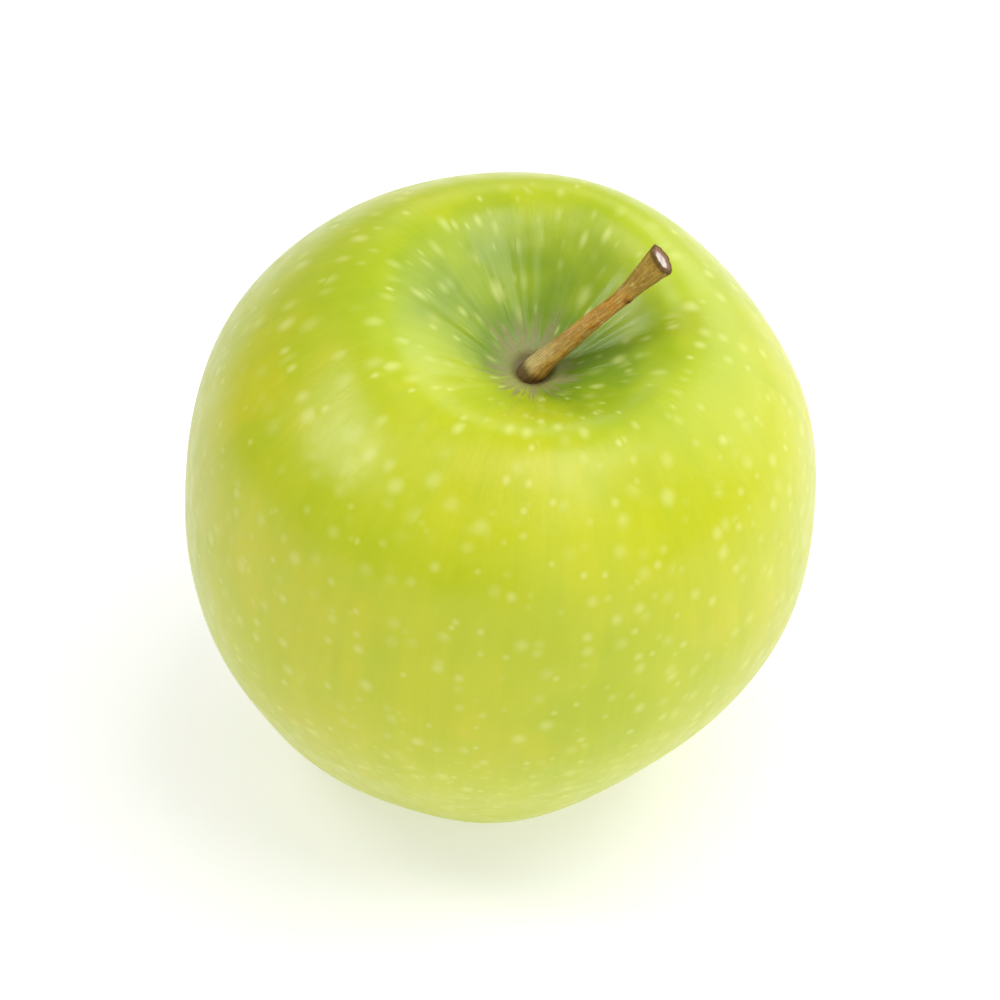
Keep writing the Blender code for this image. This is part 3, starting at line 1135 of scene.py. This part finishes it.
@dataclass
class Skin:
    """The fruit's skin: one closed surface with the cavity, the basin and their small relief."""

    form: FruitForm
    rings: int = 276
    sides: int = 340
    inset: float = 0.00017
    swirl_height: float = 0.00013
    swirl_length: float = 0.013
    swirl_count: int = 30
    swirl_seed: int = 11
    rib_height: float = 0.000045
    rib_reach: float = 0.0105
    rib_width: float = 0.0055
    rib_waves: Waves = ((1.0, 19, 0.4), (0.8, 27, 2.0), (0.6, 41, 4.1), (0.5, 11, 1.3))
    lip_height: float = 0.00020
    lip_reach: float = 0.0030
    lip_width: float = 0.0008
    lip_waves: Waves = ((0.4, 3, 0.0),)
    crevice_depth: float = 0.0003
    crevice_reach: float = 0.0015
    pit_depth: float = 0.0016
    pit_inner: float = 0.0022
    pit_outer: float = 0.0042
    pucker_height: float = 0.00022
    pucker_reach: float = 0.0066
    pucker_width: float = 0.0028
    pucker_waves: Waves = ((1.0, 10, 0.6), (0.7, 7, 2.2), (0.5, 17, 0.9))
    foot_round: float = 0.00015

    def relief(self, places: Array, reach: Array, angle: Array) -> Array:
        """Work out how far the skin stands out of its plain form.

        It is soft swirls, less a little so that it stays inside the solid's box, plus fine ribs down
        the cavity's wall, a lip round the stem, puckers in the basin, and the pit of the calyx.

        Args:
            places: Points of the plain form.
            reach: Metres from the middle of the cavity, along the skin.
            angle: The angle round the core.

        Returns:
            Metres along the outward direction.
        """
        left = self.form.length() - reach
        swirl = swirls(places, self.swirl_length, self.swirl_count, self.swirl_seed)
        ribs = waves(self.rib_waves, angle) * bell(self.rib_reach, self.rib_width, reach)
        lip = (1 + waves(self.lip_waves, angle)) * bell(self.lip_reach, self.lip_width, reach)
        crevice = self.crevice_depth * bell(self.crevice_reach, self.lip_width, reach)
        pucker = waves(self.pucker_waves, angle) * bell(self.pucker_reach, self.pucker_width, left)
        pit = self.pit_depth * (1 - ease(self.pit_inner, self.pit_outer, left))
        raised = (
            self.swirl_height * swirl
            + self.rib_height * ribs
            + self.lip_height * lip
            + self.pucker_height * pucker
        )
        return raised - self.inset - crevice - pit

    def build(self) -> Piece:
        """Build the skin."""
        share = np.linspace(0.0, 1.0, self.rings + 2)[1:-1]
        turn = round_ring(self.sides)
        angle, share = np.meshgrid(turn, share)
        reach = share * self.form.length()
        plain = self.form.stand(self.form.points(share, angle), self.form.towards_base(share))
        skin = plain + ring_normals(plain) * self.relief(plain, reach, angle)[..., None]
        height = skin[..., 2]
        skin[..., 2] = (height + np.sqrt(height**2 + self.foot_round**2)) / 2
        attributes = {"reach": reach[None] / MILLIMETRE, "ring": ring_vectors(angle)[None]}
        return ring_object("apple_skin", skin[None], attributes)


@dataclass
class Stem:
    """The woody stem: thick at its root, slim, with a knuckle, and flared to its cut end."""

    form: FruitForm
    path: tuple[tuple[float, ...], ...] = (
        (-0.00185, 0.0000, -0.00285, 0.0015),
        (0.0006, -0.0001, 0.0007, 0.00152),
        (0.0026, 0.0001, 0.0028, 0.00130),
        (0.0060, 0.0003, 0.0062, 0.00115),
        (0.0093, 0.0008, 0.0092, 0.00100),
        (0.0110, 0.0012, 0.0107, 0.00102),
        (0.0126, 0.0019, 0.0121, 0.00130),
        (0.0144, 0.0029, 0.0135, 0.00180),
        (0.0156, 0.0036, 0.0145, 0.00215),
    )
    knuckle_knot: int = 5
    rings: int = 190
    cut_rings: int = 26
    sides: int = 80
    root_height: float = 0.05
    root_share: float = 0.135
    root_width: float = 0.05
    knuckle_height: float = 0.06
    knuckle_width: float = 0.014
    groove_height: float = 0.03
    groove_gap: float = 0.03
    ridge_waves: Waves = ((0.030, 5, 0.3), (0.024, 8, 1.9), (0.018, 13, 4.4))
    ridge_twist: float = 1.3
    ridge_growth: Pair = (0.6, 0.8)
    dent_height: float = 0.030
    dent_length: float = 1.2
    dent_stretch: float = 9.0
    dent_count: int = 24
    dent_seed: int = 5
    flat_flare: float = 0.16
    cut_slope: float = -0.34
    cut_start: float = 0.93
    cut_middle: float = 0.02
    cut_dish: float = 0.00032
    cut_round: float = 0.00016
    dish_wall: Pair = (0.10, 0.45)
    pith_wall: Pair = (0.62, 0.82)
    pith_rise: float = 0.5
    rim_share: float = 0.14

    def knots(self) -> Array:
        """Say how far along the stem each point of its path is, from 0 to 1."""
        steps = np.linalg.norm(np.diff(np.array(self.path)[:, :3], axis=0), axis=1)
        return np.concatenate([[0.0], np.cumsum(steps)]) / steps.sum()

    def knuckle(self) -> float:
        """Say how far along the stem its knuckle is."""
        return float(self.knots()[self.knuckle_knot])

    def girth(self, share: Array, angle: Array) -> Array:
        """Work out the thickness round each ring, as a factor on the path's half thickness.

        It is 1, plus a wider root, a knuckle with a groove under it, ridges that wind slowly round
        the stem, and soft dents.

        Args:
            share: How far along the stem.
            angle: The angle round it.

        Returns:
            The factor.
        """
        knuckle = self.knuckle()
        root = self.root_height * bell(self.root_share, self.root_width, share)
        ring = self.knuckle_height * bell(knuckle, self.knuckle_width, share)
        groove = self.groove_height * bell(knuckle - self.groove_gap, self.knuckle_width, share)
        ridges = waves(self.ridge_waves, angle + self.ridge_twist * share)
        places = ring_vectors(angle)
        places[..., 2] = self.dent_stretch * share
        dents = self.dent_height * swirls(places, self.dent_length, self.dent_count, self.dent_seed)
        thin, more = self.ridge_growth
        return 1 + root + ring - groove + ridges * (thin + more * share) + dents

    def build(self) -> Piece:
        """Build the stem.

        The bark's rings are carried along the path. The cut face's rings shrink to the middle on a
        sloping, dished plane.

        Returns:
            The stem's object.
        """
        share = np.linspace(0.0, 1.0, self.rings)
        turn = round_ring(self.sides)
        path = spline(self.knots(), np.array(self.path), share)
        angle, along = np.meshgrid(turn, share)
        radius = path[:, 3:4] * self.girth(along, angle)
        flat = 1 - self.flat_flare * ease(self.knuckle(), 1.0, along)
        across = radius * np.cos(angle)
        square = radius * np.sin(angle) * flat
        hint = np.array([[0.0, -1.0, 0.0]])
        bark = sweep(path[None, :, :3], hint, across[None], square[None])[0]
        tangent = unit(path[-1, :3] - path[-2, :3])
        sloped = ease(self.cut_start, 1.0, along) * self.cut_slope * across[-1]
        bark += tangent * sloped[..., None]
        shrink = np.linspace(1.0, self.cut_middle, self.cut_rings)[1:, None, None]
        inner = 1 - shrink
        dish = ease(*self.dish_wall, inner) - self.pith_rise * ease(*self.pith_wall, inner)
        sunk = self.cut_dish * dish - self.cut_round * ease(0.0, self.rim_share, inner)
        face = path[-1, :3] + (bark[-1] - path[-1, :3]) * shrink - tangent * sunk
        rings = np.concatenate([bark, face]) + self.form.cavity_floor()
        spread = np.ones((1, len(rings), self.sides))
        full_share = np.concatenate([share, np.ones(len(face))])
        full_inner = np.concatenate([np.zeros(self.rings), inner[:, 0, 0]])
        attributes = {
            "along": full_share[:, None] * spread,
            "inner": full_inner[:, None] * spread,
            "ring": ring_vectors(turn * spread),
        }
        return ring_object("apple_stem", rings[None], attributes)


@dataclass
class Calyx:
    """The dried end of the blossom: a cup, five curled sepals, stamens and wool."""

    form: FruitForm
    cup_radius: float = 0.0030
    cup_height: float = 0.0024
    cup_radii: tuple[float, ...] = (0.30, 0.80, 0.93, 0.98, 1.00, 0.95, 0.86, 0.78, 0.60, 0.25)
    cup_heights: tuple[float, ...] = (1.0, 0.96, 0.70, 0.35, 0.08, -0.02, 0.04, 0.22, 0.42, 0.52)
    cup_rings: int = 56
    cup_sides: int = 96
    cup_waves: Waves = ((0.03, 5, 0.0), (0.015, 13, 1.0))
    sepal_length: float = 0.0068
    sepal_width: float = 0.0036
    sepal_thickness: float = 0.00036
    sepal_pointed: float = 0.86
    sepal_taper: float = 1.7
    sepal_thinned: float = 0.5
    sepal_curl: float = 1.25
    sepal_curls: Pair = (0.22, 2.3)
    sepal_lengths: Pair = (0.10, 1.9)
    sepal_reach: float = 0.75
    sepal_cupped: float = 0.0007
    sepal_opened: float = 0.4
    sepal_foot_radius: float = 0.62 * 0.0030
    sepal_foot_height: float = 0.0012
    sepal_sway: float = 0.0005
    sepal_sway_pace: Pair = (1.7, 2.6)
    sepal_ripple: float = 0.07
    sepal_ripple_pace: tuple[float, ...] = (17.0, 2.0, 3.0)
    sepal_crinkle: float = 0.00013
    sepal_crinkle_pace: tuple[float, ...] = (23.0, 1.0, 2.4)
    sepal_seam: float = 1.3
    sepal_rings: int = 64
    sepal_sides: int = 48
    stamens: int = 11
    stamen_rings: int = 22
    stamen_sides: int = 10
    stamen_length: float = 0.0034
    stamen_lengths: Pair = (0.75, 1.05)
    stamen_splay: Pair = (-0.25, 0.45)
    stamen_twist: float = 0.3
    stamen_scatter: float = 0.2
    stamen_oval: float = 0.2
    knob_swell: float = 1.5
    knob_place: Pair = (0.90, 0.07)
    knob_closed: float = 0.95
    knob_end: Pair = (0.93, 1.0)
    stamen_sunk: float = 0.0009
    stamen_radius: float = 0.00013
    stamen_ring_radius: float = 0.0012
    hairs: int = 460
    hair_rings: int = 5
    hair_sides: int = 4
    hair_radius: float = 0.00003
    hair_lengths: Pair = (0.0006, 0.0017)
    hair_feet: Pair = (0.02, 1.0)
    hair_sunk: Pair = (0.0002, 0.0012)
    hair_splay: Pair = (-0.9, 0.9)
    hair_bend: float = 1.5
    hair_taper: float = 0.75
    hair_shade: float = 0.3
    seed: int = 23

    def _piece(self, name: str, rings: Array, along: Array | float, angle: Array) -> Piece:
        """Make one of the calyx's objects on the basin's floor.

        Args:
            name: The piece's name.
            rings: Points from the middle of the basin's floor.
            along: How far along its part each point is, 0 to 1.
            angle: The angle round its part.

        Returns:
            The object.
        """
        spread = np.ones(rings.shape[:3])
        attributes = {"along": along * spread, "ring": ring_vectors(angle * spread)}
        return ring_object(name, rings + self.form.basin_floor(), attributes)

    def build_cup(self) -> Piece:
        """Build the cup, a lathed wall with a rounded rim whose edge is uneven."""
        profile = np.stack([self.cup_radii, self.cup_heights], axis=-1)
        share = np.linspace(0.0, 1.0, self.cup_rings)
        line = spline(np.linspace(0.0, 1.0, len(profile)), profile, share)
        angle = round_ring(self.cup_sides)
        radius = self.cup_radius * line[:, :1] * (1 + waves(self.cup_waves, angle))
        height = self.cup_height * line[:, 1:] + 0 * radius
        rings = np.stack([radius * np.cos(angle), radius * np.sin(angle), height], axis=-1)
        return self._piece("calyx_cup", rings[None], 0.5 * share[:, None], angle)

    def build_sepals(self) -> Piece:
        """Build the five sepals.

        A sepal's middle line bends outwards at an even rate, so it runs out by 1 less the cosine of
        the bend and down by its sine. A flat lens is carried along it, which narrows to the tip. Its
        two edges ripple and roll in. A pace says how fast a wave runs along a sepal, from one sepal
        to the next, or from edge to edge.

        Returns:
            The sepals' object.
        """
        index = np.arange(self.form.lobes)[:, None]
        along = np.linspace(0.0, 1.0, self.sepal_rings)[None, :]
        spread, pace = self.sepal_curls
        curl = self.sepal_curl + spread * np.sin(pace * index)
        spread, pace = self.sepal_lengths
        length = self.sepal_length * (1 + spread * np.cos(pace * index))
        bend = curl * along
        outward = self.sepal_foot_radius + self.sepal_reach * length * (1 - np.cos(bend)) / curl
        down = length * np.sin(bend) / curl - self.sepal_foot_height
        heading = self.form.lobe_turn + TURN * (index + 0.5) / self.form.lobes
        next_pace, long_pace = self.sepal_sway_pace
        sway = self.sepal_sway * np.sin(next_pace * index + long_pace * along) * along
        paths, hints = self._bundle(heading, outward, sway, down)
        angle = round_ring(self.sepal_sides)
        tall = along[..., None]
        which = index[..., None]
        lens = np.cos(angle)
        half = self.sepal_width / 2 * (1 - self.sepal_pointed * tall**self.sepal_taper)
        long_pace, next_pace, edge_pace = self.sepal_ripple_pace
        rippled = np.sin(long_pace * tall + next_pace * which + edge_pace * np.sign(lens))
        ripple = 1 + self.sepal_ripple * rippled * lens**2
        wall = self.sepal_thickness / 2 * (1 - self.sepal_thinned * tall) * np.sin(angle)
        rolled = self.sepal_cupped * lens**2 * (1 - self.sepal_opened * tall)
        long_pace, next_pace, edge_pace = self.sepal_crinkle_pace
        crinkled = np.sin(long_pace * tall + next_pace * which + edge_pace * lens)
        crinkle = self.sepal_crinkle * crinkled * np.abs(lens)
        square = wall + rolled + crinkle
        rings = sweep(paths, hints, half * lens * ripple, square)
        return self._piece("calyx_sepals", rings, tall, angle + self.sepal_seam * which)

    def _bundle(self, heading: Array, out: Array, side: Array, down: Array) -> tuple[Array, Array]:
        """Place the middle lines of parts that stand in a ring and hang down.

        Args:
            heading: The angle round the calyx of each part, shaped (parts, 1).
            out: Distances from the calyx's middle, shaped (parts, rings).
            side: Distances to the left of the heading, shaped (parts, rings).
            down: Distances below the basin's floor, shaped (parts, rings).

        Returns:
            The middle lines, and the direction square to each heading.
        """
        east = out * np.cos(heading) - side * np.sin(heading)
        north = out * np.sin(heading) + side * np.cos(heading)
        hints = np.stack([-np.sin(heading), np.cos(heading), 0 * heading], axis=-1)[:, 0]
        return np.stack([east, north, -down + 0 * east], axis=-1), hints

    def build_stamens(self) -> Piece:
        """Build the dried stamens, thin bent threads that end in a shrunken knob."""
        draw = np.random.default_rng(self.seed)
        shape = (self.stamens, 1)
        index = np.arange(self.stamens)[:, None]
        along = np.linspace(0.0, 1.0, self.stamen_rings)[None, :]
        scatter = draw.uniform(-self.stamen_scatter, self.stamen_scatter, shape)
        heading = TURN * index / self.stamens + scatter
        length = self.stamen_length * draw.uniform(*self.stamen_lengths, shape)
        out = self.stamen_ring_radius + length * draw.uniform(*self.stamen_splay, shape) * along**2
        side = length * draw.uniform(-self.stamen_twist, self.stamen_twist, shape) * along**2
        paths, hints = self._bundle(heading, out, side, length * along - self.stamen_sunk)
        angle = round_ring(self.stamen_sides)
        tall = along[..., None]
        knob = 1 + self.knob_swell * bell(*self.knob_place, tall)
        tip = np.sqrt(1 - self.knob_closed * ease(*self.knob_end, tall))
        oval = 1 + self.stamen_oval * np.cos(2 * angle + index[..., None])
        radius = self.stamen_radius * knob * tip * oval
        rings = sweep(paths, hints, radius * np.cos(angle), radius * np.sin(angle))
        return self._piece("calyx_stamens", rings, tall, angle)

    def build_wool(self) -> Piece:
        """Build the wool: short bent hairs inside the cup and round the sepals' feet."""
        draw = np.random.default_rng(self.seed + 1)
        shape = (self.hairs, 1)
        heading = draw.uniform(0, TURN, shape)
        foot = self.cup_radius * np.sqrt(draw.uniform(*self.hair_feet, shape))
        start = draw.uniform(*self.hair_sunk, shape)
        length = draw.uniform(*self.hair_lengths, shape)
        along = np.linspace(0.0, 1.0, self.hair_rings)[None, :]
        bend = along**self.hair_bend
        out = foot + length * draw.uniform(*self.hair_splay, shape) * bend
        side = length * draw.uniform(*self.hair_splay, shape) * bend
        paths, hints = self._bundle(heading, out, side, length * along - start)
        angle = round_ring(self.hair_sides)
        radius = self.hair_radius * (1 - self.hair_taper * along[..., None])
        rings = sweep(paths, hints, radius * np.cos(angle), radius * np.sin(angle))
        return self._piece("calyx_wool", rings, self.hair_shade, angle)


def direction(azimuth: float, elevation: float) -> Vector:
    """Point from the apple outwards, where azimuth 0 is towards the viewer and 90 to the right.

    Args:
        azimuth: Degrees round the apple.
        elevation: Degrees above the floor.

    Returns:
        The unit direction.
    """
    round_it, above = math.radians(azimuth), math.radians(elevation)
    flat = math.cos(above)
    return Vector((flat * math.sin(round_it), -flat * math.cos(round_it), math.sin(above)))


def hang(name: str, data: bpy.types.ID, target: Vector, away: Vector, distance: float) -> None:
    """Put a light or a camera in the scene, some way from what it looks at.

    Args:
        name: The object's name.
        data: The light or the camera.
        target: What it looks at.
        away: The direction from there to it.
        distance: How far it is.
    """
    hung = bpy.data.objects.new(name, data)
    hung.location = target + away * distance
    hung.rotation_euler = away.to_track_quat("Z", "Y").to_euler()
    bpy.context.scene.collection.objects.link(hung)


@dataclass(frozen=True)
class Softbox:
    """One rectangular studio light that looks at the apple."""

    name: str
    azimuth: float
    elevation: float
    distance: float
    width: float
    height: float
    power: float

    def build(self, target: Vector) -> None:
        """Hang the light.

        Args:
            target: What it looks at.
        """
        lamp = bpy.data.lights.new(self.name, "AREA")
        lamp.shape = "RECTANGLE"
        lamp.size = self.width
        lamp.size_y = self.height
        lamp.energy = self.power
        hang(self.name, lamp, target, direction(self.azimuth, self.elevation), self.distance)


@dataclass
class Studio:
    """The floor, the lights, the surroundings and the camera."""

    effects: Effects
    floor_size: float = 8.0
    target_height: float = 0.0375
    view_elevation: float = 40.0
    view_distance: float = 1.5
    view_width: float = 0.122
    sensor: float = 36.0
    surround: float = 0.35
    reflected: float = 0.34
    backdrop: float = 1.0
    softboxes: tuple[Softbox, ...] = (
        Softbox("top_softbox", 68, 69, 1.2, 0.66, 0.84, 6.8),
        Softbox("left_softbox", -86, 56, 1.2, 0.26, 0.48, 3.2),
        Softbox("right_softbox", 122, 26, 1.3, 1.2, 1.0, 6.5),
        Softbox("back_softbox", 165, 30, 1.4, 1.4, 0.6, 2.2),
        Softbox("fill_softbox", 30, 22, 1.5, 1.4, 1.2, 4.0),
    )

    def build_floor(self) -> None:
        """Lay the floor's board."""
        half = self.floor_size / 2
        corners = [(-half, -half, 0.0), (half, -half, 0.0), (half, half, 0.0), (-half, half, 0.0)]
        mesh = bpy.data.meshes.new("floor")
        mesh.from_pydata(corners, [], [(0, 1, 2, 3)])
        mesh.materials.append(PaleBoard(self.effects).material())
        floor = bpy.data.objects.new("floor", mesh)
        bpy.context.scene.collection.objects.link(floor)

    def build_surroundings(self) -> None:
        """Light the room evenly, dimmer than the white that is seen and that the skin reflects."""
        world = bpy.data.worlds.new("room")
        world.use_nodes = True
        bpy.context.scene.world = world
        graph = Graph(world.node_tree)
        back = world.node_tree.nodes["Background"]
        rays = graph.add("LightPath", {}).outputs
        light = graph.step(rays["Is Glossy Ray"], 0.0, 1.0, self.surround, self.reflected)
        seen = graph.step(rays["Is Camera Ray"], 0.0, 1.0, light, self.backdrop)
        graph.fill(back, {"Color": (1.0, 1.0, 1.0, 1.0), "Strength": seen})

    def build_camera(self, target: Vector) -> None:
        """Put the camera where it looks down on the apple as the photograph does.

        Args:
            target: What it looks at.
        """
        lens = bpy.data.cameras.new("camera")
        lens.sensor_width = self.sensor
        lens.lens = self.sensor * self.view_distance / self.view_width
        lens.clip_start = 0.01
        away = direction(0.0, self.view_elevation)
        hang("camera", lens, target, away, self.view_distance)
        bpy.context.scene.camera = bpy.data.objects["camera"]

    def build(self) -> None:
        """Build the whole studio."""
        target = Vector((0.0, 0.0, self.target_height))
        self.build_floor()
        self.build_surroundings()
        for softbox in self.softboxes:
            softbox.build(target)
        self.build_camera(target)
        bpy.context.scene.view_settings.view_transform = "Standard"
        log.info("studio: %d softboxes", len(self.softboxes))


def main() -> None:
    """Build the apple and its studio, piece by piece."""
    logging.basicConfig(level=logging.INFO, format="%(name)s: %(message)s")
    effects = Effects()
    form = FruitForm()
    skin, stem, calyx = Skin(form), Stem(form), Calyx(form)
    wax = AppleSkin(effects, form.length() / MILLIMETRE).material()
    bark = Bark(effects, stem.knuckle()).material()
    dry = DryTissue(effects, "dry_sepal", srgb(104, 78, 46), srgb(124, 124, 72)).material()
    wool = DryTissue(effects, "calyx_wool", srgb(170, 158, 120), srgb(186, 180, 146)).material()
    finish_piece(skin.build(), wax, Solid.FRUIT)
    finish_piece(stem.build(), bark, Solid.STEM)
    finish_piece(calyx.build_cup(), dry, Solid.CALYX)
    finish_piece(calyx.build_sepals(), dry, Solid.CALYX)
    finish_piece(calyx.build_stamens(), dry, Solid.CALYX)
    finish_piece(calyx.build_wool(), wool, Solid.CALYX)
    Studio(effects).build()


if __name__ == "__main__":
    main()
